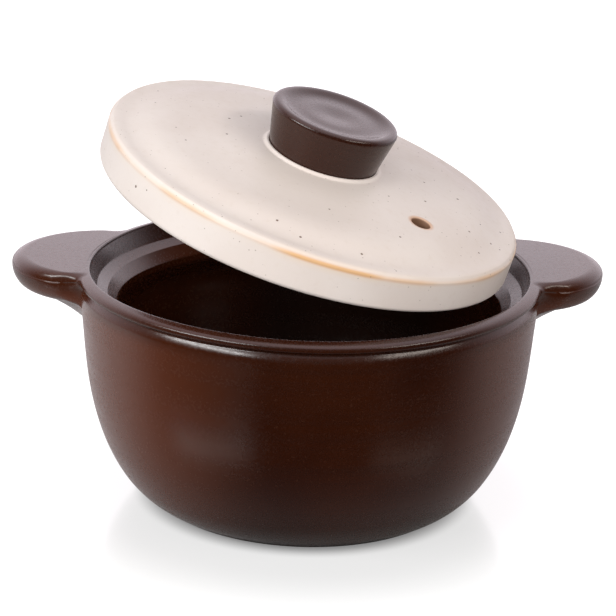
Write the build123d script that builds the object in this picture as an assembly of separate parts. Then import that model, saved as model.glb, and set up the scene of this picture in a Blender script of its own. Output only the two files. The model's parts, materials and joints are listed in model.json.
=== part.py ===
from build123d import *
import os
from math import cos, radians, sin, sqrt

os.makedirs("parts", exist_ok=True)

# Rim of the pot: a crisp inner edge, a land that falls to a bead, and a groove under the bead
mouth_radius = 96.0
pot_height = 104.2
mouth_rounding = 0.7
land_width = 4.2
land_drop = 1.6
bead_reach = 5.3
bead_drop = 3.2
groove_reach = 3.6
groove_drop = 4.7
shoulder_reach = 4.4
shoulder_drop = 9.0

# Belly and foot of the pot: shares of the shoulder's radius and height
foot_radius = 64.6
foot_edge_reach = 3.0
foot_edge_height = 1.2
foot_ring_width = 8.0
foot_recess = 1.6
belly_shares = [
    (0.718, 0.041),
    (0.764, 0.082),
    (0.806, 0.132),
    (0.849, 0.204),
    (0.894, 0.306),
    (0.932, 0.429),
    (0.960, 0.571),
    (0.978, 0.735),
    (0.991, 0.898),
]

# Inside of the pot: shares of the cavity's radius and depth
wall_thickness = 8.5
floor_thickness = 9.5
cavity_shares = [(0.50, 0.015), (0.72, 0.07), (0.855, 0.20), (0.94, 0.45), (0.965, 0.70), (0.957, 0.90)]

# Seat for the lid: a wall that narrows downwards, a sloping ledge with a line in it and a rounded lip
seat_wall_taper = 3.0
seat_depth = 7.9
ledge_width = 4.8
ledge_fall = 2.4
lip_width = 4.2
lip_fall = 5.0
lip_height = 3.0
seat_rounding = 1.1

# Lugs: one shape for both sides, set a little behind the middle of the pot; each is luted on by hand
# with its own reach beyond the mouth and its own depth at the wall
lug_radius = 36.0
lug_flank_radius = 30.0
lug_top_drop = 0.3
lug_top_rounding = 3.5
lug_side_depth = 5.0
lug_lower_rounding = 10.0
lug_lower_shares = [0.25, 0.5, 0.75]
lug_scoop_shares = [(0.0, 0.0), (0.25, 0.14), (0.5, 0.34), (0.75, 0.62), (1.0, 1.0)]
lug_root_radius = 4.0
lug_root_sink = 0.2
lug_root_depth = 9.0
lug_left_reach = 37.3
lug_left_root_drop = 31.0
lug_left_swing = 9.0
lug_right_reach = 36.6
lug_right_root_drop = 30.0
lug_right_swing = 12.5

# Lid: an upright edge, a shallow dome and a hollow underside, shares of its radius and dome rise
lid_play = 0.4
lid_seat_gap = 0.3
lid_edge_height = 14.0
lid_bottom_rounding = 2.0
lid_dome_rise = 11.6
lid_dome_shares = [(0.980, 0.21), (0.945, 0.37), (0.81, 0.56), (0.62, 0.77), (0.43, 0.92)]
lid_thickness = 7.5
lid_ring_width = 8.0
lid_ring_depth = 5.0
lid_underside_shares = [(0.965, 0.24), (0.85, 0.48), (0.60, 0.77), (0.30, 0.96)]
vent_radius = 4.1
vent_place_radius = 58.2
vent_angle = -19.1

# Knob: a cone that widens upwards, dished on top, set in a raised collar of the lid
knob_foot_radius = 23.9
knob_top_radius = 28.4
knob_height = 20.8
knob_foot_rounding = 0.8
knob_lip_width = 3.6
knob_lip_rounding = 2.0
knob_dish_depth = 1.5
knob_luting_gap = 0.1
collar_width = 2.2
collar_height = 1.0
collar_rounding = 0.4
socket_depth = 0.6

# How the lid is held over the pot: tipped about a level line outside the mouth
tip_direction = -20.0
tip_angle = 16.9
pivot_outset = 22.0
pivot_rise = 20.7

cut_overrun = 5.0
half_turn = 180.0


def turned(outline):
    """Solid of revolution of a closed outline, given as radius and height."""
    return revolve(Plane.XZ * make_face(outline), axis=Axis.Z)


# Outside outline of the pot, from the foot to the mouth
shoulder_radius = mouth_radius + shoulder_reach
shoulder_height = pot_height - shoulder_drop
foot_edge = (foot_radius + foot_edge_reach, foot_edge_height)
foot_arc = TangentArc((foot_radius, 0), foot_edge, tangent=(1, 0))
belly_points = [(shoulder_radius * across, shoulder_height * up) for across, up in belly_shares]
belly_curve = Spline(foot_edge, *belly_points, (shoulder_radius, shoulder_height))
rim_points = [
    (mouth_radius + groove_reach, pot_height - groove_drop),
    (mouth_radius + bead_reach, pot_height - bead_drop),
    (mouth_radius + land_width, pot_height - land_drop),
]
mouth_top = (mouth_radius + mouth_rounding, pot_height)
rim_curve = Spline(belly_curve @ 1, *rim_points, mouth_top, tangents=[belly_curve % 1, (-1, 0)])

# Seat outline: it gives the lid its radius and its height
seat_wall_radius = mouth_radius - seat_wall_taper
ledge_top = (seat_wall_radius, pot_height - seat_depth)
ledge_line = (ledge_top[0] - ledge_width, ledge_top[1] - ledge_fall)
lip_edge = (ledge_line[0] - lip_width, ledge_line[1] - lip_fall)
lip_foot = (lip_edge[0], lip_edge[1] - lip_height)


def make_pot_envelope():
    """The pot filled solid, which the lugs are cut to."""
    cover = Polyline(mouth_top, (0, pot_height), (0, 0), (foot_radius, 0))
    return turned([foot_arc, belly_curve, rim_curve, cover])


def make_pot_body():
    """Thrown pot with a foot ring, a beaded rim and a seat for the lid."""
    foot_inner_radius = foot_radius - foot_ring_width
    foot_ring = Polyline(
        (0, foot_recess),
        (foot_inner_radius - foot_recess, foot_recess),
        (foot_inner_radius, 0),
        (foot_radius, 0),
    )
    mouth_side = (mouth_radius, pot_height - mouth_rounding)
    mouth_arc = RadiusArc(mouth_top, mouth_side, -mouth_rounding)
    seat = FilletPolyline(mouth_side, ledge_top, ledge_line, lip_edge, lip_foot, radius=seat_rounding)
    cavity_radius = shoulder_radius - wall_thickness
    cavity_depth = lip_foot[1] - floor_thickness
    cavity_points = [
        (cavity_radius * across, floor_thickness + cavity_depth * up)
        for across, up in reversed(cavity_shares)
    ]
    cavity = Spline(
        seat @ 1,
        *cavity_points,
        (0, floor_thickness),
        tangents=[(1, -1), (-1, 0)],
        tangent_scalars=[1, 1],
    )
    axis_line = Line((0, floor_thickness), (0, foot_recess))
    return turned([foot_ring, foot_arc, belly_curve, rim_curve, mouth_arc, seat, cavity, axis_line])


def lug_plan(centre, drop, tip_radius):
    """Plan of a lug at a level: round tip, hollow flanks and a root inside the pot's wall."""
    rim_radius = min(shoulder_radius, centre + tip_radius) - lug_root_sink
    to_tip = tip_radius + lug_flank_radius
    to_rim = rim_radius + lug_flank_radius
    flank_x = (to_rim**2 - to_tip**2 + centre**2) / (2 * centre)
    flank = Vector(flank_x, sqrt(to_rim**2 - flank_x**2))
    tip_centre = Vector(centre, 0)
    tip_end = tip_centre + (flank - tip_centre) * (tip_radius / to_tip)
    rim_end = flank * (rim_radius / to_rim)
    root_end = rim_end * (1 - lug_root_depth / rim_radius)
    toward_chord = (tip_end + rim_end - flank * 2).normalized()
    flank_middle = flank + toward_chord * lug_flank_radius
    tip_arc = ThreePointArc((tip_end.X, -tip_end.Y), (centre + tip_radius, 0), tip_end)
    flank_arc = ThreePointArc(tip_end, flank_middle, rim_end)
    root_line = Line(rim_end, root_end)
    chord = Line(root_end, (root_end.X, -root_end.Y))
    far_root_line = Line((root_end.X, -root_end.Y), (rim_end.X, -rim_end.Y))
    far_flank_arc = ThreePointArc(
        (rim_end.X, -rim_end.Y), (flank_middle.X, -flank_middle.Y), (tip_end.X, -tip_end.Y)
    )
    outline = make_face([tip_arc, flank_arc, root_line, chord, far_root_line, far_flank_arc])
    return Pos(0, 0, pot_height - lug_top_drop - drop) * outline


def reach(edge):
    """How far the middle of an edge lies from the pot's axis."""
    return sqrt(edge.center().X ** 2 + edge.center().Y ** 2)


def make_lug(tip_reach, root_drop, envelope):
    """Lug on the +X side, level on top and scooped underneath."""
    centre = mouth_radius + tip_reach - lug_radius
    levels = [(0, lug_radius), (lug_side_depth, lug_radius)]
    for share in lug_lower_shares:
        drop = lug_side_depth + lug_lower_rounding * share
        levels.append((drop, lug_radius - lug_lower_rounding * (1 - sqrt(1 - share**2))))
    scoop_drop, scoop_radius = levels.pop()
    for inward, down in lug_scoop_shares:
        drop = scoop_drop + (root_drop - scoop_drop) * down
        levels.append((drop, scoop_radius + (lug_root_radius - scoop_radius) * inward))
    block = loft([lug_plan(centre, drop, radius) for drop, radius in levels], ruled=True)
    top_face = block.faces().sort_by(Axis.Z)[-1]
    outer_edges = [edge for edge in top_face.edges() if reach(edge) > shoulder_radius]
    block = fillet(outer_edges, lug_top_rounding)
    return block - envelope


# Lid outline, drawn where the lid lies closed on its seat
lid_radius = seat_wall_radius - lid_play
ledge_slope = ledge_fall / ledge_width
lid_flat_radius = lid_radius - lid_bottom_rounding
ledge_under_flat = ledge_top[1] - (seat_wall_radius - lid_flat_radius) * ledge_slope
rounding_clearance = (lid_bottom_rounding + lid_seat_gap) * sqrt(1 + ledge_slope**2)
lid_bottom = ledge_under_flat + rounding_clearance - lid_bottom_rounding
lid_edge_top = lid_bottom + lid_edge_height
knob_flare = (knob_top_radius - knob_foot_radius) / knob_height
socket_radius = knob_foot_radius + knob_luting_gap
socket_mouth_radius = socket_radius + (collar_height + socket_depth) * knob_flare
collar_radius = socket_mouth_radius + collar_width
dome_top = lid_edge_top + lid_dome_rise
dome_points = [
    (lid_radius * across, lid_edge_top + lid_dome_rise * up) for across, up in lid_dome_shares
]
dome_curve = Spline((lid_radius, lid_edge_top), *dome_points, (collar_radius, dome_top))
knob_seat_height = dome_top - socket_depth
tip_axis = Axis(
    (
        (mouth_radius + pivot_outset) * cos(radians(tip_direction)),
        (mouth_radius + pivot_outset) * sin(radians(tip_direction)),
        pot_height + pivot_rise,
    ),
    (-sin(radians(tip_direction)), cos(radians(tip_direction)), 0),
)


def make_lid():
    """Domed lid with an upright edge, a collar for the knob, a steam vent and a hollow underside."""
    edge = FilletPolyline(
        (lid_flat_radius - cut_overrun, lid_bottom),
        (lid_radius, lid_bottom),
        (lid_radius, lid_edge_top),
        radius=lid_bottom_rounding,
    )
    collar = FilletPolyline(
        dome_curve @ 1,
        (collar_radius, dome_top + collar_height),
        (socket_mouth_radius, dome_top + collar_height),
        (socket_radius, knob_seat_height),
        (0, knob_seat_height),
        radius=[collar_rounding, collar_rounding, knob_luting_gap],
    )
    ring_radius = lid_radius - lid_ring_width
    under_height = dome_top - lid_thickness
    ring_top = lid_bottom + lid_ring_depth
    under_points = [
        (ring_radius * across, ring_top + (under_height - ring_top) * up)
        for across, up in reversed(lid_underside_shares)
    ]
    underside = Spline((0, under_height), *under_points, (ring_radius, ring_top))
    ring = Line(underside @ 1, edge @ 0)
    axis_line = Line((0, knob_seat_height), (0, under_height))
    lid = turned([edge, dome_curve, collar, axis_line, underside, ring])
    vent = Cylinder(vent_radius, lid_dome_rise + lid_edge_height + cut_overrun)
    vent_place = Rot(0, 0, tip_direction + vent_angle) * Pos(vent_place_radius, 0, lid_edge_top)
    return lid - vent_place * vent


def make_knob():
    """Knob that widens upwards to a rolled lip, with a dished top."""
    foot_height = knob_seat_height
    top_height = foot_height + knob_height
    lip_inner_radius = knob_top_radius - knob_lip_width
    flank = FilletPolyline(
        (0, foot_height),
        (knob_foot_radius, foot_height),
        (knob_top_radius, top_height),
        (lip_inner_radius, top_height),
        radius=[knob_foot_rounding, knob_lip_rounding],
    )
    dish = Spline(
        flank @ 1,
        (0, top_height - knob_dish_depth),
        tangents=[(-lip_inner_radius, -2 * knob_dish_depth), (-1, 0)],
    )
    return turned([flank, dish, Line(dish @ 1, (0, foot_height))])


def write_parts():
    """One file for each piece, with the lid and its knob tipped over the pot."""
    envelope = make_pot_envelope()
    lug_left = make_lug(lug_left_reach, lug_left_root_drop, envelope)
    lug_right = make_lug(lug_right_reach, lug_right_root_drop, envelope)
    pieces = {
        "pot_body": make_pot_body(),
        "handle_left": lug_left.rotate(Axis.Z, half_turn - lug_left_swing),
        "handle_right": lug_right.rotate(Axis.Z, lug_right_swing),
        "lid_disc": make_lid().rotate(tip_axis, tip_angle),
        "lid_knob": make_knob().rotate(tip_axis, tip_angle),
    }
    for name, piece in pieces.items():
        export_step(piece, f"parts/{name}.step")


write_parts()
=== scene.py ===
import json
from math import atan2, cos, pi, radians, sin, sqrt

import bpy
import numpy as np
from mathutils import Matrix, Vector


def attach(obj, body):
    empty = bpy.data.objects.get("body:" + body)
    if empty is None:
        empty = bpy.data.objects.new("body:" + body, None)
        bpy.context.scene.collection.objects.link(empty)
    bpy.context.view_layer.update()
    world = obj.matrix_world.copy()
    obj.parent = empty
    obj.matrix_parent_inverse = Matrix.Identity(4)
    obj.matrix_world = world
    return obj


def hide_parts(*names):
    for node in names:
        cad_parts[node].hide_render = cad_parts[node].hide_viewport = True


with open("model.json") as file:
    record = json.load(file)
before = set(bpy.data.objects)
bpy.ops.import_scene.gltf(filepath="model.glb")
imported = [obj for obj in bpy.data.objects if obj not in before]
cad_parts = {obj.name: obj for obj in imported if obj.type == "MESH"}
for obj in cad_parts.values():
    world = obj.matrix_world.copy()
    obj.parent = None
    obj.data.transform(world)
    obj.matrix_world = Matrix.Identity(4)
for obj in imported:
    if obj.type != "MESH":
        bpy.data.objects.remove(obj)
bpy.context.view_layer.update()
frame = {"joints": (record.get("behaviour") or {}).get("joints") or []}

# Object lengths are in millimetres, angles in degrees and outlines in (radius, height)
MM = 0.001
SAME_POINT = 1e-4
ON_AXIS = 1e-6
FAR_OFF = 1e3
CORNER_STEPS = 9

# Pot: the same outline as the solids
MOUTH_RADIUS = 96.0
POT_HEIGHT = 104.2
MOUTH_ROUNDING = 0.7
MOUTH_ARC_SHARE = 0.98
RIM_OUTLINE = [
    (100.4, 95.2), (99.95, 97.0), (99.25, 98.3), (98.95, 99.1), (99.5, 99.7), (100.8, 100.3),
    (101.3, 101.2), (101.15, 102.2), (100.5, 103.0), (99.4, 103.6), (98.0, 104.0), (96.7, 104.2),
]
RIM_UNDERSIDE_DROP = 3.5
BEAD_RADIUS = 101.3
BELLY_OUTLINE = [
    (67.6, 1.2), (72.09, 3.9), (76.71, 7.81), (80.92, 12.57), (85.24, 19.42), (89.76, 29.13),
    (93.57, 40.84), (96.38, 54.36), (98.19, 69.97), (99.5, 85.49), (100.4, 95.2),
]
FOOT_RADIUS = 64.6
FOOT_RING_WIDTH = 8.0
FOOT_RECESS = 1.6
FOOT_ROUNDINGS = [1.0, 0.6]
FOOT_FLAT_RADIUS = 63.6
FOOT_EDGE_OUTLINE = [(63.6, 0), (66.4, 0.3), (67.6, 1.2)]
SEAT_OUTLINE = [(96.0, 103.5), (93.0, 96.3), (88.2, 93.9), (84.0, 88.9), (84.0, 85.9)]
SEAT_ROUNDINGS = [1.1, 1.1, 1.6]
CAVITY_OUTLINE = [
    (84.0, 85.9), (87.95, 78.26), (88.68, 62.98), (86.39, 43.88), (78.57, 24.78), (66.17, 14.85),
    (45.95, 10.65), (0.0, 9.5),
]
CAVITY_FIRST_SLOPE = (0.4, -1)
FOOT_SPACING = 2.0
SEAT_SPACING = 0.8
FOOT_CORNER_STEPS = 5
MOUTH_CORNER_STEPS = 7
FOOT_EDGE_STEPS = 8
BELLY_STEPS = 90
RIM_STEPS = 70
CAVITY_STEPS = 90
POT_COLUMNS = 288

# Hand throwing: each wave is its size, its count round the pot and its first angle in radians
RIM_WAVES = [(0.35, 2, 0.8), (0.22, 3, 2.1), (0.10, 5, 0.0)]
RIM_WAVE_LEVEL = 0.3
RIM_WAVE_AMOUNT = 0.6
RIM_WAVE_FOOT = 60.0
RIM_WAVE_RISE = 40.0
WALL_WAVES_PERCENT = [(0.20, 2, 2.3), (0.14, 4, 0.5)]
WALL_WAVE_RISE = 30.0
PERCENT = 100.0

# Lugs: each has the distance of its centre from the axis, the depth of its root and its turn
LUGS = {"lug_left": (97.3, 31.0, 171.0), "lug_right": (96.6, 30.0, 12.5)}
LUG_NODES = {"lug_left": "handle_left", "lug_right": "handle_right"}
LUG_RADIUS = 36.0
LUG_FLANK_FRONT = 18.0
LUG_FLANK_BEHIND = 45.0
LUG_FLANK_AT_ROOT = 26.0
LUG_TOP_ROLL = 6.5
LUG_TOP_ROLL_SHARE = 0.72
LUG_TOP_FALL = 4.5
LUG_TOP_SINK = 0.02
LUG_LOWER_INSET = 9.0
LUG_LOWER_DEPTH = 10.5
LUG_LOWER_END = 0.75
LUG_ROOT_RADIUS = 4.0
LUG_SCOOP = [(0.25, 0.18), (0.5, 0.40), (0.75, 0.67), (1.0, 1.0)]
LUG_TOP_ROWS = 22
LUG_ROLL_ROWS = 17
LUG_LOWER_POINTS = 6
LUG_UNDER_ROWS = 60
LUG_COLUMNS = 241
LUG_END_OVERLAP = 0.6
LUG_LEAST_REACH = 0.01
QUARTER_TURN = 90.0
# Where a lug runs out along the rim, its surface grows out of the rim's own
LUG_BLEND = 12.0
LUG_RIM_SINK = 0.05
LUG_RIM_STEPS = 200
LUG_ROLL_START_SHARE = 0.6
LUG_WALL_TOP_DROP = 5.5
LUG_WALL_SINK = 0.35
LUG_WALL_SINK_RATE = 4
LUG_END_SINK = (2.2, 2.64)
LUG_END_TUCK = 0.6
LUG_END_TUCK_RATE = 8
# Rows that close a lug inside the pot's wall, and where their ends lie
LUG_HIDDEN_ROOT = (-2.5, 0.5)
LUG_HIDDEN_ROWS = [(96.6, 96.2), (97.4, 101.2)]
LUG_HIDDEN_END = (97.5, 91.1)
LUG_HIDDEN_END_SLOPE = 0.08
LUG_HIDDEN_END_LEVEL = 77.2

# Lid, drawn closed over the pot; shares are of its radius or ring and of its rise
LID_RADIUS = 92.6
LID_BOTTOM = 95.67
LID_BOTTOM_ROUNDING = 2.0
LID_EDGE_HEIGHT = 14.0
LID_DOME_RISE = 11.6
LID_DOME = [(0.93, 0.285), (0.81, 0.56), (0.62, 0.77), (0.43, 0.92)]
LID_UNDER = [(0.965, 0.24), (0.85, 0.48), (0.60, 0.77), (0.30, 0.96)]
LID_THICKNESS = 7.5
LID_RING_WIDTH = 8.0
LID_RING_DEPTH = 5.0
LID_RING_SLANT = 0.8
LID_RING_ROUNDING = 1.5
LID_WALL_END = 3.0
# Crest between the lid's wall and dome: share of the radius and rise over the wall
LID_CREST = [(1.0, 0.8), (0.984, 2.7), (0.955, 3.3)]
LID_CREST_ROUNDINGS = [1.2, 1.4]
COLLAR_FOOT = 26.6
COLLAR_SLOPE = 1.2
COLLAR_HEIGHT = 1.0
COLLAR_ROUNDINGS = [0.7, 0.35, 0.1]
SOCKET_MOUTH_RADIUS = 24.4
SOCKET_RADIUS = 24.0
SOCKET_DEPTH = 0.6
LID_UNDER_STEPS = 110
LID_DOME_STEPS = 92
LID_RING_SPACING = 1.0
LID_CREST_SPACING = 0.5
COLLAR_SPACING = 0.4
LID_COLUMNS = 360

# Ridge of the lid, which leans and waves a little, in the same terms as the pot's waves
RIDGE_RISE = 0.5
RIDGE_LEAN = 1.3
RIDGE_HIGH_SIDE = -165.0
RIDGE_WAVES = [(0.25, 3, 1.0)]
RIDGE_REACH = 34.0
RIDGE_WALL_MARGIN = 1

# Steam vent, with a block of the lid's grid replaced by rings round the hole
VENT_RADIUS = 4.1
VENT_PLACE = 58.2
VENT_ANGLE = -39.1
VENT_EDGE = 0.9
VENT_BLOCK_ROWS = 9
VENT_BLOCK_COLUMNS = 6
VENT_WINDOW_ROWS = 30
VENT_TOP_SHARES = (0.2, 0.4, 0.6, 0.8, 0.92, 1.0)
VENT_HOLE_SHARES = (0.25, 0.5, 0.75)
VENT_UNDER_SHARES = (0.75, 0.5, 0.25)
VENT_EDGE_STEPS = 5

# Knob
KNOB_FOOT_RADIUS = 23.9
KNOB_TOP_RADIUS = 28.4
KNOB_HEIGHT = 20.8
KNOB_ROUNDINGS = [0.8, 2.0]
KNOB_LIP_WIDTH = 3.6
KNOB_DISH_DEPTH = 2.0
# Dish between the lip and the middle: share of its radius and depth
KNOB_DISH = [(0.86, 1.1), (0.5, 1.4)]
KNOB_DISH_FIRST_SLOPE = (-1, -0.15)
KNOB_DISH_STEPS = 40
KNOB_SPACING = 0.7
KNOB_COLUMNS = 240

# Glazes: places are in metres, as the shader has them
NOISE_WIDE = (0.3, 0.7)
NOISE_MIDDLE = (0.35, 0.65)
FINE_DETAIL = 3.0
BLACK = (0.0, 0.0, 0.0)
WHITE = (1.0, 1.0, 1.0)

BROWN = (0.021, 0.0040, 0.0010)
BROWN_PATCH = (0.031, 0.0066, 0.0017)
BROWN_PATCH_SCALE = 16.0
BROWN_LINE = (0.019, 0.0036, 0.0009)
BROWN_LINE_AMOUNT = 0.35
BROWN_LINE_STRETCH = (4.0, 4.0, 260.0)
BROWN_GRAIN = (0.13, 0.050, 0.024)
BROWN_GRAIN_AMOUNT = 0.14
BROWN_GRAIN_RANGE = (0.62, 0.78)
BROWN_GRAIN_SCALE = 850.0
BROWN_GRAIN_DETAIL = 2.0
# Painted shade: the brown in the pot's cavity darkened nearly to black
BROWN_PAINTED_CAVITY_SHADE = (0.004, 0.0015, 0.0006)
PAINTED_CAVITY_SHADE_AMOUNT = 0.85
# Painted light: a lighter, redder brown on the pot's left and right sides, strongest below the
# shoulder
BROWN_PAINTED_SIDE_LIGHT = (0.155, 0.036, 0.0105)
PAINTED_SIDE_LIGHT_LEFT = (-0.095, -0.01)
PAINTED_SIDE_LIGHT_RIGHT = (0.05, 0.1)
PAINTED_SIDE_LIGHT_RIGHT_AMOUNT = 0.8
PAINTED_SIDE_LIGHT_HEIGHTS = (0.090, 0.0985)
PAINTED_SIDE_LIGHT_AMOUNTS = (0.6, 0.15)
BROWN_GRAIN_ROUGHNESS = (0.20, 0.28)
BROWN_LINE_ROUGHNESS = (-0.02, 0.03)
BROWN_GRAIN_HEIGHT = 0.3
BROWN_LINE_HEIGHT = 0.6
BROWN_BUMP = {"Strength": 0.12, "Distance": 0.0002}
BROWN_IOR = 1.5
BROWN_SPECULAR = 0.45

CREAM = (0.735, 0.652, 0.600)
CREAM_CLOUD = (0.775, 0.700, 0.652)
CREAM_CLOUD_SCALE = 22.0
CREAM_MOTTLE = (0.66, 0.56, 0.48)
CREAM_MOTTLE_AMOUNT = 0.22
CREAM_MOTTLE_RANGE = (0.55, 0.8)
CREAM_MOTTLE_SCALE = 330.0
CREAM_ROUGHNESS = (0.42, 0.54)
CREAM_MOTTLE_HEIGHT = 0.5
CREAM_CLOUD_HEIGHT = 1.5
CREAM_BUMP = {"Strength": 0.25, "Distance": 0.0003}
CREAM_IOR = 1.48
CREAM_SPECULAR = 0.4
# Tan line over the ridge, strongest at the front of the lid; its widths are in millimetres
TAN_LINE = (0.70, 0.42, 0.21)
TAN_LINE_AMOUNT = 0.85
TAN_LINE_WIDTHS = (0.2, 1.7)
TAN_LINE_OFFSET = -0.2
TAN_HALO = (0.78, 0.58, 0.40)
TAN_HALO_AMOUNT = 0.30
TAN_HALO_WIDTHS = (0.0, 4.5)
TAN_PATCH_SCALE = 26.0
TAN_PATCH_RANGE = (0.35, 0.68)
TAN_PATCH_AMOUNTS = (0.2, 0.75)
TAN_STRONG_SHARE = 0.10
TAN_STRONG_REACH = (0.012, 0.034)
TAN_STRONG_AMOUNT = 1.3
VENT_TAN = (0.60, 0.32, 0.16)
VENT_TAN_AMOUNT = 0.7
VENT_TAN_REACH = (0.0046, 0.0064)
VENT_DARK = (0.16, 0.075, 0.04)
VENT_DARK_AMOUNT = 0.9
VENT_DARK_REACH = (0.0041, 0.0046)
# Iron specks: scale of the cells, size of the speck in its cell, amount and colour
SPECKS = [(190.0, 0.13, 0.9, (0.12, 0.06, 0.035)), (420.0, 0.15, 0.55, (0.26, 0.19, 0.15))]
SPECK_PICK_RANGE = (0.35, 1.0)
SPECK_SOFTNESS = 0.25

# Floor, in metres
FLOOR_HALF = 6.0
FLOOR_ROUGHNESS = 0.17
FLOOR_GREY = 0.24
FLOOR_GLOW = 0.66
# Painted shadow: the floor glows less within reach of the pot, least at its foot, and most far from
# it
FLOOR_GLOW_IN_PAINTED_SHADOW_SHARE = 0.35
FLOOR_GLOW_FAR = 0.95
FLOOR_PAINTED_SHADOW_REACH = (0.066, 0.078)
FLOOR_FAR_REACH = (0.09, 0.15)
FLOOR_MIRRORED = (0.9, 0.9, 0.9)
FLOOR_MIRRORED_BACK = (-0.15, 0.0)
FLOOR_MIRRORED_SIDES = (-0.2, 0.2)
FLOOR_MIRRORED_AMOUNTS = (0.9, 0.6)

# Surroundings: strengths by direction, where -1 is towards the viewer or down, and 1 away or up
WORLD_AMBIENT = 0.24
WORLD_AMBIENT_FRONT = 2.1
WORLD_AMBIENT_RANGE = (-0.95, -0.4)
WORLD_OVERHEAD = 1.8
WORLD_OVERHEAD_RANGE = (0.55, 0.9)
WORLD_BACK = 1.7
WORLD_BACK_RANGE = (-0.3, 0.7)
WORLD_MIRRORED_TINT = (1.0, 0.90, 0.97)

# Softboxes: name, azimuth, elevation, width, height, power and colour, in metres and watts
SOFTBOXES = [
    ("key_left", -52, 31, 0.9, 0.12, 10, WHITE),
    ("fill_right", 58, 33, 0.8, 0.16, 4.2, (1.0, 0.90, 0.82)),
    ("top", 0, 86, 0.95, 0.95, 0.5, WHITE),
]
SOFTBOX_DISTANCE = 1.3
SOFTBOX_AIM_HEIGHT = 0.09

# Camera, worked out from the photograph's ellipses, in metres
CAMERA_LENS = 145.86
CAMERA_SENSOR = 36.0
CAMERA_PLACE = (-0.00039, -1.04388, 0.43250)
CAMERA_RIGHT = (0.999528, 0.009684, 0.029146)
CAMERA_AHEAD = (0.0, 0.948986, -0.315318)
CAMERA_CLIP_START = 0.05
CAMERA_CLIP_END = 50.0


def spline(points, count, start=None, end=None):
    """Cubic spline through points by chord length, with a slope at its ends where one is given."""
    knots = np.array(points, float)
    chords = np.linalg.norm(np.diff(knots, axis=0), axis=1)
    total = len(knots)
    system = np.eye(total)
    right = np.zeros_like(knots)
    slopes = np.diff(knots, axis=0) / chords[:, None]
    for i in range(1, total - 1):
        system[i, i - 1:i + 2] = chords[i - 1], 2 * (chords[i - 1] + chords[i]), chords[i]
        right[i] = 6 * (slopes[i] - slopes[i - 1])
    if start is not None:
        system[0, :2] = 2 * chords[0], chords[0]
        right[0] = 6 * (slopes[0] - np.array(start, float) / np.linalg.norm(start))
    if end is not None:
        system[-1, -2:] = chords[-1], 2 * chords[-1]
        right[-1] = 6 * (np.array(end, float) / np.linalg.norm(end) - slopes[-1])
    bends = np.linalg.solve(system, right)
    marks = np.concatenate([[0.0], np.cumsum(chords)])
    places = np.linspace(0.0, marks[-1], count)
    i = np.clip(np.searchsorted(marks, places, side="right") - 1, 0, total - 2)
    h = chords[i][:, None]
    a = (marks[i + 1] - places)[:, None]
    b = (places - marks[i])[:, None]
    return (
        (bends[i] * a**3 + bends[i + 1] * b**3) / (6 * h)
        + (knots[i] / h - bends[i] * h / 6) * a
        + (knots[i + 1] / h - bends[i + 1] * h / 6) * b
    )


def rounded(points, radii, steps=CORNER_STEPS):
    """A polyline with its inner corners rounded."""
    knots = [np.array(point, float) for point in points]
    out = [knots[0]]
    for i, radius in enumerate(radii, start=1):
        back = knots[i - 1] - knots[i]
        ahead = knots[i + 1] - knots[i]
        back /= np.linalg.norm(back)
        ahead /= np.linalg.norm(ahead)
        half = np.arccos(np.clip(back @ ahead, -1, 1)) / 2
        middle = (back + ahead) / np.linalg.norm(back + ahead)
        centre = knots[i] + middle * radius / sin(half)
        first = knots[i] + back * radius / np.tan(half) - centre
        last = knots[i] + ahead * radius / np.tan(half) - centre
        swing = np.arccos(np.clip(first @ last / radius**2, -1, 1))
        for share in np.linspace(0, 1, steps):
            arm = first * sin((1 - share) * swing) + last * sin(share * swing)
            out.append(centre + arm / sin(swing))
    out.append(knots[-1])
    return np.array(out)


def dense(points, spacing):
    """The same outline with no step longer than the spacing."""
    out = [points[0]]
    for a, b in zip(points[:-1], points[1:]):
        steps = max(1, int(np.ceil(np.linalg.norm(b - a) / spacing)))
        out += [a + (b - a) * k / steps for k in range(1, steps + 1)]
    return np.array(out)


def joined(*pieces):
    """Outlines end to end, with points that repeat left out."""
    out = np.concatenate(pieces)
    far_enough = np.linalg.norm(np.diff(out, axis=0), axis=1) > SAME_POINT
    return out[np.concatenate([[True], far_enough])]


def new_object(name, points, faces, nodes, body, place=None):
    """A smooth mesh of points in millimetres that stands for CAD nodes and rides on their body."""
    mesh = bpy.data.meshes.new(name)
    mesh.from_pydata((np.asarray(points) * MM).tolist(), [], faces)
    mesh.update()
    mesh.shade_smooth()
    obj = bpy.data.objects.new(name, mesh)
    bpy.context.scene.collection.objects.link(obj)
    if place is not None:
        obj.matrix_world = place
    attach(obj, body)
    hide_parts(*nodes)
    return obj


def turned_points(outline, columns, first_angle=0.0):
    """Points of a turned outline, one alone on the axis, and their numbers row by row."""
    angles = first_angle + np.arange(columns) * 2 * pi / columns
    points = []
    rows = []
    for radius, height in outline:
        if radius < ON_AXIS:
            rows.append([len(points)] * columns)
            points.append((0.0, 0.0, height))
        else:
            rows.append(list(range(len(points), len(points) + columns)))
            points += [(radius * cos(a), radius * sin(a), height) for a in angles]
    return np.array(points), rows


def turned_faces(rows, left_out=()):
    """Faces between the rows, apart from blocks of (first row, last row, half their columns)."""
    columns = len(rows[0])
    faces = []
    for j, (low, high) in enumerate(zip(rows[:-1], rows[1:])):
        halves = [half for first, last, half in left_out if first <= j < last]
        for i in range(columns):
            if any(i < half or i >= columns - half for half in halves):
                continue
            k = (i + 1) % columns
            faces.append(tuple(dict.fromkeys((low[i], low[k], high[k], high[i]))))
    return faces


def used_only(points, faces):
    """The numbers of the points that faces use, those points, and the faces renumbered to them."""
    used = sorted({i for face in faces for i in face})
    numbers = {old: new for new, old in enumerate(used)}
    return used, points[used], [tuple(numbers[i] for i in face) for face in faces]


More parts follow.
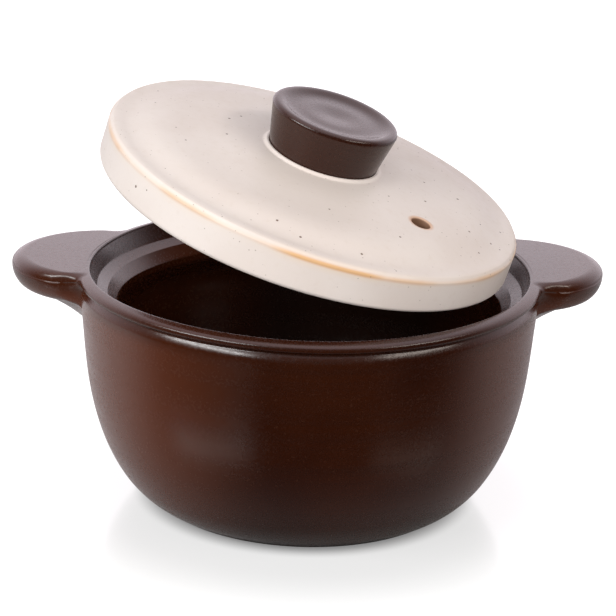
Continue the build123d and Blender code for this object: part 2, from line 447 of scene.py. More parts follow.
def smoothstep(x):
    """0 below 0, 1 above 1, and a soft step between."""
    x = np.clip(x, 0.0, 1.0)
    return x * x * (3 - 2 * x)


def waves(angle, parts):
    """Sum of waves round the axis."""
    return sum(size * np.sin(count * angle + first) for size, count, first in parts)


def wobble(points):
    """The small unevenness of hand throwing: the rim goes up and down and the wall in and out."""
    x, y, z = points.T
    angle = np.arctan2(y, x)
    high = smoothstep((z - RIM_WAVE_FOOT) / RIM_WAVE_RISE)
    up = waves(angle, RIM_WAVES) - RIM_WAVE_LEVEL
    out = waves(angle, WALL_WAVES_PERCENT)
    scale = 1 + out * smoothstep(z / WALL_WAVE_RISE) / PERCENT
    return np.stack([x * scale, y * scale, z + up * high * RIM_WAVE_AMOUNT], axis=1)


def pot_outline():
    """Outline from under the pot's middle over its rim to its floor, and its cavity's first row."""
    foot_inner = FOOT_RADIUS - FOOT_RING_WIDTH
    foot_corners = [
        (0, FOOT_RECESS),
        (foot_inner - FOOT_RECESS, FOOT_RECESS),
        (foot_inner, 0),
        (FOOT_FLAT_RADIUS, 0),
    ]
    foot = rounded(foot_corners, FOOT_ROUNDINGS, FOOT_CORNER_STEPS)
    foot_edge = spline(FOOT_EDGE_OUTLINE, FOOT_EDGE_STEPS, start=(1, 0))
    belly = spline(BELLY_OUTLINE, BELLY_STEPS)
    rim = spline(RIM_OUTLINE, RIM_STEPS, start=belly[-1] - belly[-2], end=(-1, 0))
    mouth_side = (MOUTH_RADIUS, POT_HEIGHT - MOUTH_ROUNDING)
    mouth_corners = [rim[-1], (MOUTH_RADIUS, POT_HEIGHT), mouth_side]
    mouth_radii = [MOUTH_ROUNDING * MOUTH_ARC_SHARE]
    mouth = rounded(mouth_corners, mouth_radii, MOUTH_CORNER_STEPS)
    seat = rounded(SEAT_OUTLINE, SEAT_ROUNDINGS)
    cavity = spline(CAVITY_OUTLINE, CAVITY_STEPS, start=CAVITY_FIRST_SLOPE, end=(-1, 0))
    turned_foot = dense(foot, FOOT_SPACING)
    turned_seat = dense(seat, SEAT_SPACING)
    outline = joined(turned_foot, foot_edge, belly, rim, mouth, turned_seat, cavity)
    return outline, len(outline) - len(cavity)


def make_pot(outline, cavity_row, material):
    """The thrown pot, whose cavity is marked for painted shade, nearly black."""
    points, rows = turned_points(outline, POT_COLUMNS)
    faces = turned_faces(rows)
    pot = new_object("pot_wall", wobble(points), faces, ["pot_body"], "pot")
    inside = np.zeros(len(points))
    for row in rows[cavity_row:]:
        inside[row] = 1.0
    pot.data.attributes.new("inside", "FLOAT", "POINT").data.foreach_set("value", inside)
    pot.data.materials.append(material)


def flank_place(centre, tip, body, flank):
    """How far along the lug the centre of the hollow flank between its tip and the body lies."""
    return ((body + flank) ** 2 - (tip + flank) ** 2 + centre**2) / (2 * centre)


def plan_radius(angle, centre, tip, body, flank):
    """Plan of a lug at one level, as radius by angle: round tip, hollow flank, then body."""
    angle = np.abs(angle)
    out = np.full_like(angle, body)
    if centre + tip <= body + LUG_LEAST_REACH:
        return out
    to_body = body + flank
    flank_x = flank_place(centre, tip, body, flank)
    flank_y = sqrt(max(to_body**2 - flank_x**2, 0.0))
    body_angle = atan2(flank_y, flank_x)
    share = tip / (tip + flank)
    tip_angle = atan2(flank_y * share, centre + (flank_x - centre) * share)
    on_tip = angle < tip_angle
    on_flank = (angle >= tip_angle) & (angle < body_angle)
    a = angle[on_tip]
    out[on_tip] = centre * np.cos(a) + np.sqrt(np.maximum(tip**2 - (centre * np.sin(a)) ** 2, 0))
    a = angle[on_flank]
    along = flank_x * np.cos(a) + flank_y * np.sin(a)
    across = flank_x * np.sin(a) - flank_y * np.cos(a)
    out[on_flank] = along - np.sqrt(np.maximum(flank**2 - across**2, 0))
    return out


def lug_underside(root_drop):
    """Underside of a lug at its tip, as inset and drop, and the drop where its scoop starts."""
    lower = [(0.0, LUG_TOP_FALL)]
    for share in np.linspace(0, LUG_LOWER_END, LUG_LOWER_POINTS + 1)[1:]:
        inset = LUG_LOWER_INSET * (1 - sqrt(1 - share**2))
        lower.append((inset, LUG_TOP_FALL + LUG_LOWER_DEPTH * share))
    edge_inset, edge_drop = lower[-1]
    scoop_width = LUG_RADIUS - LUG_ROOT_RADIUS - edge_inset
    for inward, down in LUG_SCOOP:
        drop = edge_drop + (root_drop - edge_drop) * down
        lower.append((edge_inset + scoop_width * inward, drop))
    return spline(lower, LUG_UNDER_ROWS), edge_drop


def make_lug(name, outline, material):
    """A lug that grows out of the rim: flat on top, rounded at its edge and scooped underneath."""
    centre, root_drop, turn = LUGS[name]
    behind = 1.0 if turn < QUARTER_TURN else -1.0
    ends = []
    for flank in (LUG_FLANK_FRONT, LUG_FLANK_BEHIND):
        end_share = flank_place(centre, LUG_RADIUS, BEAD_RADIUS, flank) / (BEAD_RADIUS + flank)
        ends.append(np.arccos(end_share) + radians(LUG_END_OVERLAP))
    angles = np.sort(np.linspace(-ends[0], ends[1], LUG_COLUMNS) * behind)

    def plan(tip, body, deep=0.0):
        radii = []
        for flank in (LUG_FLANK_BEHIND, LUG_FLANK_FRONT):
            flank = flank + (LUG_FLANK_AT_ROOT - flank) * deep
            radii.append(plan_radius(angles, centre, tip, body, flank))
        return np.where(angles * behind > 0, *radii)

    top_plan = plan(LUG_RADIUS, BEAD_RADIUS)
    grow = smoothstep((top_plan - BEAD_RADIUS) / LUG_BLEND)

    rim = spline(RIM_OUTLINE, LUG_RIM_STEPS, start=(0.0, 1.0), end=(-1, 0))[::-1]
    rim_shares = np.linspace(0, 1, len(rim))
    bead_share = rim_shares[int(np.argmax(rim[:, 0]))]
    below_bead = rim[:, 1] < POT_HEIGHT - RIM_UNDERSIDE_DROP
    groove_share = rim_shares[np.argmin(np.where(below_bead, rim[:, 0], FAR_OFF))]

    def rim_point(share):
        return rim[int(round(share * (len(rim) - 1)))] - LUG_RIM_SINK

    rows = []

    def add_row(radii, height, end):
        r = end[0] + (radii - end[0]) * grow
        z = end[1] + (height - end[1]) * grow
        rows.append(np.stack([r * np.cos(angles), r * np.sin(angles), z], axis=1))

    inner = MOUTH_RADIUS + MOUTH_ROUNDING
    roll = np.minimum(LUG_TOP_ROLL, LUG_TOP_ROLL_SHARE * (top_plan - inner))
    for share in np.linspace(0, 1, LUG_TOP_ROWS):
        radii = inner + (top_plan - roll - inner) * share
        end = rim_point(bead_share * LUG_ROLL_START_SHARE * share)
        add_row(radii, POT_HEIGHT - LUG_TOP_SINK, end)
    for share in np.linspace(0, 1, LUG_ROLL_ROWS + 1)[1:]:
        swing = share * pi / 2
        radii = top_plan - roll * (1 - sin(swing))
        height = POT_HEIGHT - LUG_TOP_FALL * (1 - cos(swing))
        end = rim_point(bead_share * (LUG_ROLL_START_SHARE + (1 - LUG_ROLL_START_SHARE) * share))
        add_row(radii, height, end)

    wall = outline[(outline[:, 0] > FOOT_RADIUS) & (outline[:, 1] >= BELLY_OUTLINE[0][1])]
    wall = wall[:int(np.argmax(wall[:, 1]))]
    wall = wall[wall[:, 1] < POT_HEIGHT - LUG_WALL_TOP_DROP]
    under, edge_drop = lug_underside(root_drop)
    for inset, drop in under:
        share = min(1.0, (drop - LUG_TOP_FALL) / (edge_drop - LUG_TOP_FALL))
        deep = max(0.0, (drop - edge_drop) / (root_drop - edge_drop))
        height = POT_HEIGHT - drop
        body = np.interp(height, wall[:, 1], wall[:, 0])
        body = float(body) - LUG_WALL_SINK * min(1.0, deep * LUG_WALL_SINK_RATE)
        end = rim_point(bead_share + (groove_share - bead_share) * share)
        end = end - np.array(LUG_END_SINK) * deep
        end = end - np.array([LUG_END_TUCK, 0.0]) * min(1.0, deep * LUG_END_TUCK_RATE)
        add_row(plan(LUG_RADIUS - inset, body, deep), height, end)

    root_height = POT_HEIGHT - root_drop
    root_radius = float(np.interp(root_height, wall[:, 1], wall[:, 0]))
    hidden_root = (root_radius + LUG_HIDDEN_ROOT[0], root_height + LUG_HIDDEN_ROOT[1])
    for radius, height in [hidden_root] + LUG_HIDDEN_ROWS:
        end_rise = LUG_HIDDEN_END_SLOPE * (height - LUG_HIDDEN_END_LEVEL)
        end = (LUG_HIDDEN_END[0], LUG_HIDDEN_END[1] + end_rise)
        add_row(np.full(LUG_COLUMNS, radius), height, end)

    numbers = np.arange(len(rows) * LUG_COLUMNS).reshape(len(rows), LUG_COLUMNS).tolist()
    faces = []
    for row, following in zip(numbers, numbers[1:] + numbers[:1]):
        for i in range(LUG_COLUMNS - 1):
            faces.append((row[i], following[i], following[i + 1], row[i + 1]))
    faces.append(tuple(row[0] for row in reversed(numbers)))
    faces.append(tuple(row[-1] for row in numbers))
    swing = radians(turn)
    x, y, z = np.concatenate(rows).T
    points = np.stack([x * cos(swing) - y * sin(swing), x * sin(swing) + y * cos(swing), z], axis=1)
    lug = new_object(name, wobble(points), faces, [LUG_NODES[name]], "pot")
    lug.data.materials.append(material)


def lid_outline():
    """Outline of the closed lid in pieces, from its underside's middle to the knob's socket."""
    edge_top = LID_BOTTOM + LID_EDGE_HEIGHT
    dome_top = edge_top + LID_DOME_RISE
    ring_radius = LID_RADIUS - LID_RING_WIDTH
    ring_top = LID_BOTTOM + LID_RING_DEPTH
    under_top = dome_top - LID_THICKNESS
    under = [(0, under_top)]
    for across, up in reversed(LID_UNDER):
        under.append((ring_radius * across, ring_top + (under_top - ring_top) * up))
    under.append((ring_radius, ring_top))
    under = spline(under, LID_UNDER_STEPS, start=(1, 0))
    wall_end = (LID_RADIUS, edge_top - LID_WALL_END)
    ring_corner = (ring_radius + LID_RING_SLANT, LID_BOTTOM)
    ring_corners = [under[-1], ring_corner, (LID_RADIUS, LID_BOTTOM), wall_end]
    ring = rounded(ring_corners, [LID_RING_ROUNDING, LID_BOTTOM_ROUNDING])
    crest = [(LID_RADIUS * across, edge_top + rise) for across, rise in LID_CREST]
    crest = rounded([wall_end] + crest, LID_CREST_ROUNDINGS)
    dome = [(LID_RADIUS * across, edge_top + LID_DOME_RISE * up) for across, up in LID_DOME]
    dome = [crest[-2]] + dome + [(COLLAR_FOOT, dome_top)]
    dome = spline(dome, LID_DOME_STEPS, start=crest[-2] - crest[-3])
    collar_corners = [
        dome[-1],
        (COLLAR_FOOT - COLLAR_SLOPE, dome_top + COLLAR_HEIGHT),
        (SOCKET_MOUTH_RADIUS, dome_top + COLLAR_HEIGHT),
        (SOCKET_RADIUS, dome_top - SOCKET_DEPTH),
        (0, dome_top - SOCKET_DEPTH),
    ]
    collar = dense(rounded(collar_corners, COLLAR_ROUNDINGS), COLLAR_SPACING)
    return under, dense(ring, LID_RING_SPACING), dense(crest[:-1], LID_CREST_SPACING), dome, collar


def ring_of_block(rows, inner_row, outer_row, half):
    """Points round a block of a turned grid, counter-clockwise seen from above."""
    step = 1 if outer_row > inner_row else -1
    loop = [rows[j][-half] for j in range(inner_row, outer_row, step)]
    loop += [rows[outer_row][i] for i in range(-half, half)]
    loop += [rows[j][half] for j in range(outer_row, inner_row, -step)]
    loop += [rows[inner_row][i] for i in range(half, -half, -1)]
    return loop


def vent_rings(top_ring, under_ring, top_height, under_height):
    """Rings of points from round the hole on the dome, down the hole, to round it underneath."""
    centre = VENT_PLACE * np.array([cos(radians(VENT_ANGLE)), sin(radians(VENT_ANGLE))])
    top_plan = top_ring[:, :2] - centre
    under_plan = under_ring[:, :2] - centre
    top_way = top_plan / np.linalg.norm(top_plan, axis=1)[:, None]
    under_way = under_plan / np.linalg.norm(under_plan, axis=1)[:, None]
    rings = []

    def add_ring(plan, surface, drop):
        plan = plan + centre
        rings.append(np.column_stack([plan, surface(np.linalg.norm(plan, axis=1)) - drop]))

    edge = VENT_RADIUS + VENT_EDGE
    for share in VENT_TOP_SHARES:
        add_ring(top_plan + (top_way * edge - top_plan) * share, top_height, 0.0)
    for swing in np.linspace(0, pi / 2, VENT_EDGE_STEPS + 1)[1:]:
        plan = top_way * (edge - VENT_EDGE * sin(swing))
        add_ring(plan, top_height, VENT_EDGE * (1 - cos(swing)))
    for share in VENT_HOLE_SHARES:
        way = top_way + (under_way - top_way) * share
        plan = way / np.linalg.norm(way, axis=1)[:, None] * VENT_RADIUS + centre
        place = np.linalg.norm(plan, axis=1)
        high = top_height(place) - VENT_EDGE
        height = high + (under_height(place) + VENT_EDGE - high) * share
        rings.append(np.column_stack([plan, height]))
    for swing in np.linspace(pi / 2, 0, VENT_EDGE_STEPS):
        plan = under_way * (edge - VENT_EDGE * sin(swing))
        add_ring(plan, under_height, -VENT_EDGE * (1 - cos(swing)))
    for share in VENT_UNDER_SHARES:
        add_ring(under_plan + (under_way * edge - under_plan) * share, under_height, 0.0)
    return rings


def lean_ridge(points, from_ridge):
    """Raises and lowers the points near the lid's ridge."""
    angle = np.arctan2(points[:, 1], points[:, 0])
    lean = RIDGE_LEAN * np.cos(angle - radians(RIDGE_HIGH_SIDE)) + waves(angle, RIDGE_WAVES)
    wall_share = np.clip((points[:, 2] - LID_BOTTOM) / LID_EDGE_HEIGHT, 0, 1)
    on_wall = (from_ridge < 0) & (from_ridge > -LID_EDGE_HEIGHT - RIDGE_WALL_MARGIN)
    below = np.where(on_wall, wall_share, 0.0)
    above = smoothstep(1 - from_ridge / RIDGE_REACH)
    points[:, 2] += lean * np.where(from_ridge >= 0, above, below)


def make_lid(material, place):
    """Lid with a real vent hole, an uneven ridge and a collar of glaze for the knob."""
    under, ring, crest, dome, collar = lid_outline()
    outline = joined(under, ring, crest, dome, collar)
    steps = np.linalg.norm(np.diff(outline, axis=0), axis=1)
    along = np.concatenate([[0.0], np.cumsum(steps)])
    ridge = (LID_RADIUS, LID_BOTTOM + LID_EDGE_HEIGHT + RIDGE_RISE)
    ridge_row = int(np.argmin(np.linalg.norm(outline - ridge, axis=1)))
    points, rows = turned_points(outline, LID_COLUMNS, radians(VENT_ANGLE))
    from_ridge = np.zeros(len(points))
    for row, distance in zip(rows, along - along[ridge_row]):
        from_ridge[row] = distance

    numbers = np.arange(len(outline))
    off_vent = np.abs(outline[:, 0] - VENT_PLACE)
    under_row = int(np.argmin(np.where(numbers < len(under), off_vent, FAR_OFF)))
    top_row = int(np.argmin(np.where(numbers > ridge_row, off_vent, FAR_OFF)))
    reach = VENT_BLOCK_ROWS
    half = VENT_BLOCK_COLUMNS
    faces = turned_faces(rows, [(row - reach, row + reach, half) for row in (under_row, top_row)])
    top_loop = ring_of_block(rows, top_row + reach, top_row - reach, half)
    under_loop = ring_of_block(rows, under_row - reach, under_row + reach, half)

    def top_height(radius):
        part = outline[top_row - VENT_WINDOW_ROWS:top_row + VENT_WINDOW_ROWS][::-1]
        return np.interp(radius, part[:, 0], part[:, 1])

    def under_height(radius):
        part = outline[under_row - VENT_WINDOW_ROWS:under_row + VENT_WINDOW_ROWS]
        return np.interp(radius, part[:, 0], part[:, 1])

    loops = [top_loop]
    for ring_points in vent_rings(points[top_loop], points[under_loop], top_height, under_height):
        loops.append(list(range(len(points), len(points) + len(top_loop))))
        points = np.concatenate([points, ring_points])
        from_ridge = np.append(from_ridge, np.full(len(top_loop), LID_RADIUS - VENT_PLACE))
    loops.append(under_loop)
    total = len(top_loop)
    for upper, lower in zip(loops[:-1], loops[1:]):
        for m in range(total):
            n = (m + 1) % total
            faces.append((upper[m], upper[n], lower[n], lower[m]))
    used, points, faces = used_only(points, faces)
    from_ridge = from_ridge[used]
    lean_ridge(points, from_ridge)
    lid = new_object("lid_dome", points, faces, ["lid_disc"], "lid", place)
    lid.data.attributes.new("ridge", "FLOAT", "POINT").data.foreach_set("value", from_ridge)
    lid.data.materials.append(material)


def make_knob(material, place):
    """Knob that widens upwards to a rolled lip, with a dished top."""
    foot = LID_BOTTOM + LID_EDGE_HEIGHT + LID_DOME_RISE - SOCKET_DEPTH
    top = foot + KNOB_HEIGHT
    inner = KNOB_TOP_RADIUS - KNOB_LIP_WIDTH
    flank_corners = [(0, foot), (KNOB_FOOT_RADIUS, foot), (KNOB_TOP_RADIUS, top), (inner, top)]
    flank = rounded(flank_corners, KNOB_ROUNDINGS)
    dish = [(inner * across, top - down) for across, down in KNOB_DISH]
    dish = [flank[-1]] + dish + [(0, top - KNOB_DISH_DEPTH)]
    dish = spline(dish, KNOB_DISH_STEPS, start=KNOB_DISH_FIRST_SLOPE, end=(-1, 0))
    points, rows = turned_points(joined(dense(flank, KNOB_SPACING), dish), KNOB_COLUMNS)
    faces = turned_faces(rows)
    knob = new_object("knob", points, faces, ["lid_knob"], "lid", place)
    knob.data.materials.append(material)


def add(tree, kind, inputs=None, **settings):
    """A shader node with its settings, and its inputs set or linked by name or number."""
    node = tree.nodes.new(kind)
    for key, value in settings.items():
        setattr(node, key, value)
    for key, value in (inputs or {}).items():
        if isinstance(value, bpy.types.NodeSocket):
            tree.links.new(value, node.inputs[key])
        else:
            node.inputs[key].default_value = value
    return node


def maths(tree, operation, a, b=0.0):
    """Result of a maths node."""
    return add(tree, "ShaderNodeMath", {0: a, 1: b}, operation=operation).outputs[0]


def ramp(tree, value, source, result=(0.0, 1.0)):
    """A value stepped smoothly from one range to another."""
    inputs = {
        "Value": value,
        "From Min": source[0],
        "From Max": source[1],
        "To Min": result[0],
        "To Max": result[1],
    }
    return add(tree, "ShaderNodeMapRange", inputs, interpolation_type="SMOOTHSTEP").outputs[0]


def mix(tree, factor, a, b):
    """Colours a and b mixed; they go into the node's sockets 6 and 7."""
    node = add(tree, "ShaderNodeMix", {0: factor}, data_type="RGBA")
    for number, value in ((6, a), (7, b)):
        if isinstance(value, bpy.types.NodeSocket):
            tree.links.new(value, node.inputs[number])
        else:
            node.inputs[number].default_value = (*value, 1)
    return node.outputs[2]


def noise(tree, vector, scale, detail=FINE_DETAIL):
    """Noise between 0 and 1."""
    inputs = {"Vector": vector, "Scale": scale, "Detail": detail}
    return add(tree, "ShaderNodeTexNoise", inputs).outputs["Fac"]


def distance(tree, a, b):
    """Distance between two points."""
    return add(tree, "ShaderNodeVectorMath", {0: a, 1: b}, operation="DISTANCE").outputs["Value"]


def attribute(tree, name):
    """A number kept with the mesh."""
    return add(tree, "ShaderNodeAttribute", attribute_name=name).outputs["Fac"]


def new_material(name):
    """A material, its nodes, its shader and the place on the object."""
    material = bpy.data.materials.new(name)
    material.use_nodes = True
    tree = material.node_tree
    shader = tree.nodes["Principled BSDF"]
    place = add(tree, "ShaderNodeTexCoord").outputs["Object"]
    return material, tree, shader, place


def add_bump(tree, shader, height, settings):
    """Fine relief on a shader."""
    bump = add(tree, "ShaderNodeBump", {**settings, "Height": height}).outputs[0]
    tree.links.new(bump, shader.inputs["Normal"])


def brown_glaze():
    """Iron glaze: dark brown, redder in patches, with throwing lines, painted light on its left and
    right sides and painted shade in its cavity.
    """
    material, tree, shader, place = new_material("brown_glaze")
    patches = ramp(tree, noise(tree, place, BROWN_PATCH_SCALE), NOISE_MIDDLE)
    stretching = {"Vector": place, "Scale": BROWN_LINE_STRETCH}
    lines = noise(tree, add(tree, "ShaderNodeMapping", stretching).outputs[0], 1.0)
    grain = noise(tree, place, BROWN_GRAIN_SCALE, BROWN_GRAIN_DETAIL)
    colour = mix(tree, patches, BROWN, BROWN_PATCH)
    amount = ramp(tree, lines, NOISE_WIDE, (0.0, BROWN_LINE_AMOUNT))
    colour = mix(tree, amount, colour, BROWN_LINE)
    amount = ramp(tree, grain, BROWN_GRAIN_RANGE, (0.0, BROWN_GRAIN_AMOUNT))
    colour = mix(tree, amount, colour, BROWN_GRAIN)
    # Painted shade in the cavity
    amount = maths(tree, "MULTIPLY", attribute(tree, "inside"), PAINTED_CAVITY_SHADE_AMOUNT)
    colour = mix(tree, amount, colour, BROWN_PAINTED_CAVITY_SHADE)
    # Painted light on the pot's left and right sides, weaker near the rim
    parts = add(tree, "ShaderNodeSeparateXYZ", {0: place}).outputs
    left = ramp(tree, parts["X"], PAINTED_SIDE_LIGHT_LEFT, (1.0, 0.0))
    right = ramp(tree, parts["X"], PAINTED_SIDE_LIGHT_RIGHT, (0.0, PAINTED_SIDE_LIGHT_RIGHT_AMOUNT))
    below_rim = ramp(tree, parts["Z"], PAINTED_SIDE_LIGHT_HEIGHTS, PAINTED_SIDE_LIGHT_AMOUNTS)
    painted_side_light = maths(tree, "MULTIPLY", maths(tree, "MAXIMUM", left, right), below_rim)
    colour = mix(tree, painted_side_light, colour, BROWN_PAINTED_SIDE_LIGHT)
    tree.links.new(colour, shader.inputs["Base Color"])
    grain_roughness = ramp(tree, grain, NOISE_WIDE, BROWN_GRAIN_ROUGHNESS)
    line_roughness = ramp(tree, lines, NOISE_WIDE, BROWN_LINE_ROUGHNESS)
    roughness = maths(tree, "ADD", grain_roughness, line_roughness)
    tree.links.new(roughness, shader.inputs["Roughness"])
    grain_height = maths(tree, "MULTIPLY", grain, BROWN_GRAIN_HEIGHT)
    line_height = maths(tree, "MULTIPLY", lines, BROWN_LINE_HEIGHT)
    add_bump(tree, shader, maths(tree, "ADD", grain_height, line_height), BROWN_BUMP)
    shader.inputs["IOR"].default_value = BROWN_IOR
    shader.inputs["Specular IOR Level"].default_value = BROWN_SPECULAR
    return material


def tan_edges(tree, place, colour):
    """Colour with the glaze broken tan over the lid's ridge and round its vent."""
    patches = noise(tree, place, TAN_PATCH_SCALE)
    patches = ramp(tree, patches, TAN_PATCH_RANGE, TAN_PATCH_AMOUNTS)
    ridge_height = LID_BOTTOM + LID_EDGE_HEIGHT
    strong_side = Vector((TAN_STRONG_SHARE * LID_RADIUS, -LID_RADIUS, ridge_height)) * MM
    away = distance(tree, place, strong_side)
    strong = ramp(tree, away, TAN_STRONG_REACH, (TAN_STRONG_AMOUNT, 0.0))
    strength = maths(tree, "MAXIMUM", patches, strong)
    off = maths(tree, "ADD", attribute(tree, "ridge"), TAN_LINE_OFFSET)
    off = maths(tree, "ABSOLUTE", off)
    halo = ramp(tree, off, TAN_HALO_WIDTHS, (TAN_HALO_AMOUNT, 0.0))
    colour = mix(tree, maths(tree, "MULTIPLY", halo, strength), colour, TAN_HALO)
    line = maths(tree, "MULTIPLY", ramp(tree, off, TAN_LINE_WIDTHS, (1.0, 0.0)), strength)
    colour = mix(tree, maths(tree, "MULTIPLY", line, TAN_LINE_AMOUNT), colour, TAN_LINE)

    flattening = {0: place, 1: (1.0, 1.0, 0.0)}
    flat = add(tree, "ShaderNodeVectorMath", flattening, operation="MULTIPLY").outputs[0]
    vent_angle = radians(VENT_ANGLE)
    away = distance(tree, flat, Vector((cos(vent_angle), sin(vent_angle), 0.0)) * VENT_PLACE * MM)
    amount = ramp(tree, away, VENT_TAN_REACH, (VENT_TAN_AMOUNT, 0.0))
    colour = mix(tree, amount, colour, VENT_TAN)
    amount = ramp(tree, away, VENT_DARK_REACH, (VENT_DARK_AMOUNT, 0.0))
    return mix(tree, amount, colour, VENT_DARK)


def cream_glaze():
    """Cream glaze with iron specks, clouded a little, and tan at its edges."""
    material, tree, shader, place = new_material("cream_glaze")
    clouds = noise(tree, place, CREAM_CLOUD_SCALE)
    mottle = noise(tree, place, CREAM_MOTTLE_SCALE)
    colour = mix(tree, ramp(tree, clouds, NOISE_MIDDLE), CREAM, CREAM_CLOUD)
    amount = ramp(tree, mottle, CREAM_MOTTLE_RANGE, (0.0, CREAM_MOTTLE_AMOUNT))
    colour = mix(tree, amount, colour, CREAM_MOTTLE)
    colour = tan_edges(tree, place, colour)
    for scale, size, amount, shade in SPECKS:
        inputs = {"Vector": place, "Scale": scale, "Randomness": 1.0}
        cells = add(tree, "ShaderNodeTexVoronoi", inputs).outputs
        pick = add(tree, "ShaderNodeSeparateColor", {0: cells["Color"]}).outputs[0]
        radius = ramp(tree, pick, SPECK_PICK_RANGE, (0.0, size))
        depth = maths(tree, "SUBTRACT", radius, cells["Distance"])
        speck = ramp(tree, depth, (0.0, size * SPECK_SOFTNESS), (0.0, amount))
        colour = mix(tree, speck, colour, shade)
    tree.links.new(colour, shader.inputs["Base Color"])
    roughness = ramp(tree, mottle, NOISE_WIDE, CREAM_ROUGHNESS)
    tree.links.new(roughness, shader.inputs["Roughness"])
    mottle_height = maths(tree, "MULTIPLY", mottle, CREAM_MOTTLE_HEIGHT)
    cloud_height = maths(tree, "MULTIPLY", clouds, CREAM_CLOUD_HEIGHT)
    add_bump(tree, shader, maths(tree, "ADD", mottle_height, cloud_height), CREAM_BUMP)
    shader.inputs["IOR"].default_value = CREAM_IOR
    shader.inputs["Specular IOR Level"].default_value = CREAM_SPECULAR
    return material


def make_floor():
    """Pale glossy floor, as white as the background away from the pot, with painted shadow round
    the pot's foot, and pale in reflections.
    """
    mesh = bpy.data.meshes.new("floor")
    corners = [(x * FLOOR_HALF, y * FLOOR_HALF, 0) for x, y in ((-1, -1), (1, -1), (1, 1), (-1, 1))]
    mesh.from_pydata(corners, [], [(0, 1, 2, 3)])
    floor = bpy.data.objects.new("floor", mesh)
    bpy.context.scene.collection.objects.link(floor)
    material, tree, shader, place = new_material("floor")
    shader.inputs["Roughness"].default_value = FLOOR_ROUGHNESS
    rays = add(tree, "ShaderNodeLightPath").outputs
    parts = add(tree, "ShaderNodeSeparateXYZ", {0: place}).outputs
    away = distance(tree, place, (0.0, 0.0, 0.0))
    # Painted shadow round the pot: less glow near its foot, more far from it
    painted_shadow_glow_ends = (FLOOR_GLOW * FLOOR_GLOW_IN_PAINTED_SHADOW_SHARE, FLOOR_GLOW)
    glow_with_painted_shadow = ramp(tree, away, FLOOR_PAINTED_SHADOW_REACH, painted_shadow_glow_ends)
    far = ramp(tree, away, FLOOR_FAR_REACH, (0.0, FLOOR_GLOW_FAR - FLOOR_GLOW))
    back = ramp(tree, parts["Y"], FLOOR_MIRRORED_BACK)
    sides = ramp(tree, parts["X"], FLOOR_MIRRORED_SIDES, FLOOR_MIRRORED_AMOUNTS)
    mirrored = mix(tree, maths(tree, "MULTIPLY", back, sides), BLACK, FLOOR_MIRRORED)
    colour = mix(tree, rays["Is Glossy Ray"], (FLOOR_GREY,) * 3, mirrored)
    tree.links.new(colour, shader.inputs["Base Color"])
    strength = maths(tree, "MULTIPLY", rays["Is Camera Ray"], maths(tree, "ADD", glow_with_painted_shadow, far))
    glow = add(tree, "ShaderNodeEmission", {"Strength": strength})
    both = add(tree, "ShaderNodeAddShader", {0: shader.outputs[0], 1: glow.outputs[0]})
    tree.links.new(both.outputs[0], tree.nodes["Material Output"].inputs["Surface"])
    mesh.materials.append(material)


def make_softbox(name, azimuth, elevation, width, height, power, colour):
    """Area lamp; its azimuth is counted from the front, positive to the right."""
    lamp = bpy.data.lights.new(name, "AREA")
    lamp.shape = "RECTANGLE"
    lamp.size = width
    lamp.size_y = height
    lamp.energy = power
    lamp.color = colour
    box = bpy.data.objects.new(name, lamp)
    bpy.context.scene.collection.objects.link(box)
    a, e = radians(azimuth), radians(elevation)
    aim = Vector((0, 0, SOFTBOX_AIM_HEIGHT))
    box.location = aim + Vector((sin(a) * cos(e), -cos(a) * cos(e), sin(e))) * SOFTBOX_DISTANCE
    box.rotation_euler = (aim - box.location).to_track_quat("-Z", "Y").to_euler()


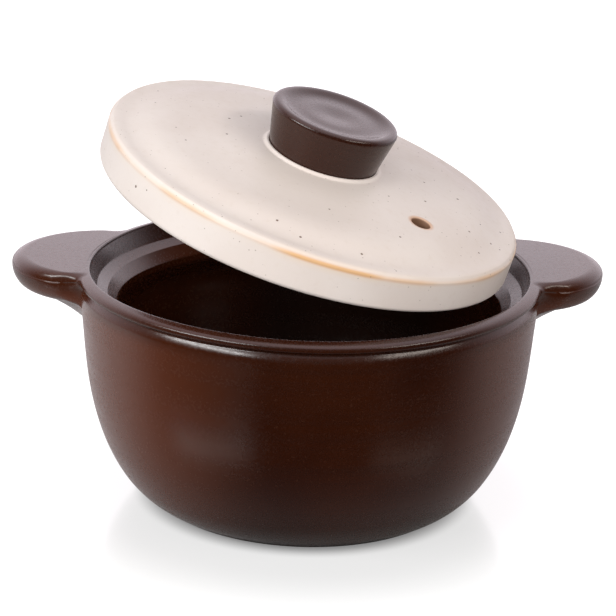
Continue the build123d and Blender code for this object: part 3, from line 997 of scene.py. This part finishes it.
def make_world():
    """Soft light from the viewer's side, and white behind and above where gloss mirrors it."""
    world = bpy.data.worlds.new("studio")
    bpy.context.scene.world = world
    world.use_nodes = True
    tree = world.node_tree
    background = tree.nodes["Background"].inputs
    way = add(tree, "ShaderNodeTexCoord").outputs["Generated"]
    parts = add(tree, "ShaderNodeSeparateXYZ", {0: way}).outputs
    overhead = ramp(tree, parts["Z"], WORLD_OVERHEAD_RANGE, (0.0, WORLD_OVERHEAD))
    behind = ramp(tree, parts["Y"], WORLD_BACK_RANGE, (0.0, WORLD_BACK))
    mirrored = maths(tree, "MAXIMUM", behind, overhead)
    ambient_ends = (WORLD_AMBIENT_FRONT, WORLD_AMBIENT)
    ambient = ramp(tree, parts["Y"], WORLD_AMBIENT_RANGE, ambient_ends)
    rays = add(tree, "ShaderNodeLightPath").outputs
    choice = {0: rays["Is Glossy Ray"], 2: ambient, 3: mirrored}
    strength = add(tree, "ShaderNodeMix", choice).outputs[0]
    strength = maths(tree, "MAXIMUM", strength, rays["Is Camera Ray"])
    tree.links.new(strength, background["Strength"])
    tint = mix(tree, rays["Is Glossy Ray"], WHITE, WORLD_MIRRORED_TINT)
    tree.links.new(mix(tree, rays["Is Camera Ray"], tint, WHITE), background["Color"])


def make_camera():
    """The photograph's camera."""
    data = bpy.data.cameras.new("camera")
    data.sensor_width = CAMERA_SENSOR
    data.lens = CAMERA_LENS
    data.clip_start = CAMERA_CLIP_START
    data.clip_end = CAMERA_CLIP_END
    camera = bpy.data.objects.new("camera", data)
    bpy.context.scene.collection.objects.link(camera)
    right = Vector(CAMERA_RIGHT).normalized()
    ahead = Vector(CAMERA_AHEAD)
    ahead = (ahead - right * ahead.dot(right)).normalized()
    turn = Matrix((right, right.cross(ahead), -ahead)).transposed().to_4x4()
    camera.matrix_world = Matrix.Translation(CAMERA_PLACE) @ turn
    bpy.context.scene.camera = camera


brown = brown_glaze()
cream = cream_glaze()
outline_of_pot, row_of_cavity = pot_outline()
make_pot(outline_of_pot, row_of_cavity, brown)
for lug_name in LUGS:
    make_lug(lug_name, outline_of_pot, brown)

joint = frame["joints"][0]
pivot = Vector(joint["pos_m"])
tip = Matrix.Rotation(radians(-joint["range_deg"][0]), 4, Vector(joint["axis"]))
tipped = Matrix.Translation(pivot) @ tip @ Matrix.Translation(-pivot)
make_lid(cream, tipped)
make_knob(brown, tipped)

make_floor()
for softbox in SOFTBOXES:
    make_softbox(*softbox)
make_world()
make_camera()
bpy.context.scene.view_settings.view_transform = "Standard"
